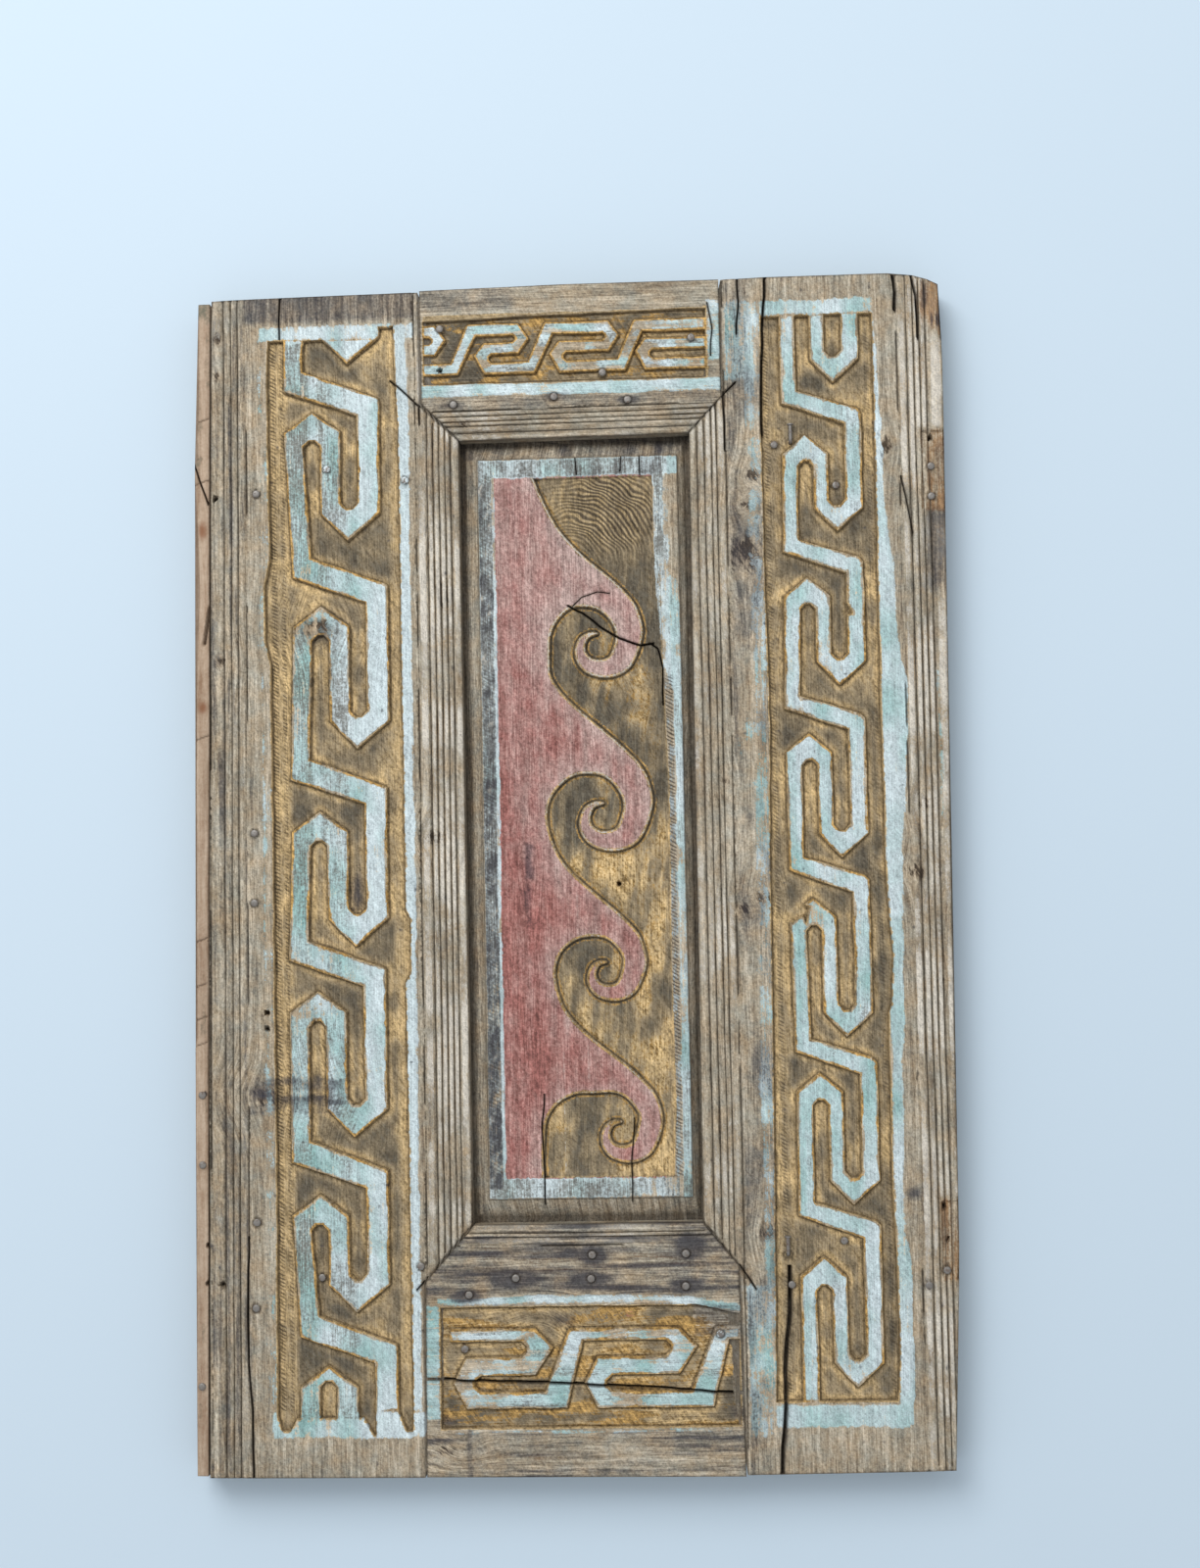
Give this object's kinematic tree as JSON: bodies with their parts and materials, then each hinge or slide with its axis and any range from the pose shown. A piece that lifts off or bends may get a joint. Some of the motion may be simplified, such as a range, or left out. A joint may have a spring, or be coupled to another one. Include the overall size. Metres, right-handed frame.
{
  "type": "carved wooden door",
  "caption": "Small framed wooden door with a carved hook-meander frame, a fielded panel carved with a running wave, nails and a lath along one edge.",
  "frame": {"origin": "middle of the door's outline, at the plain back of the boards on which the door lies", "axes": "+X to the door's right edge, +Y up the door to the top rail, +Z out of the carved face"},
  "size_m": [0.5098, 0.7924, 0.0338],
  "materials": {
    "old_softwood": "weathered, with worn blue and ochre paint",
    "panel_softwood": "weathered, with worn red and ochre paint",
    "newer_softwood": "bare, rough sawn",
    "nail_iron": "dull, rusted"
  },
  "bodies": {
    "root": {"left_stile": "old_softwood", "right_stile": "old_softwood", "top_rail": "old_softwood", "bottom_rail": "old_softwood", "panel": "panel_softwood", "edge_lath": "newer_softwood", "nail_01": "nail_iron", "nail_02": "nail_iron", "nail_03": "nail_iron", "nail_04": "nail_iron", "nail_05": "nail_iron", "nail_06": "nail_iron", "nail_07": "nail_iron", "nail_08": "nail_iron", "nail_09": "nail_iron", "nail_10": "nail_iron", "nail_11": "nail_iron", "nail_12": "nail_iron", "nail_13": "nail_iron", "nail_14": "nail_iron", "nail_15": "nail_iron", "nail_16": "nail_iron", "nail_17": "nail_iron", "nail_18": "nail_iron", "nail_19": "nail_iron", "nail_20": "nail_iron", "nail_21": "nail_iron", "nail_22": "nail_iron", "nail_23": "nail_iron", "nail_24": "nail_iron", "nail_25": "nail_iron", "nail_26": "nail_iron", "nail_27": "nail_iron", "nail_28": "nail_iron", "nail_29": "nail_iron", "nail_30": "nail_iron", "nail_31": "nail_iron", "nail_32": "nail_iron", "nail_33": "nail_iron", "nail_34": "nail_iron", "nail_35": "nail_iron", "nail_36": "nail_iron"}
  },
  "joints": []
}
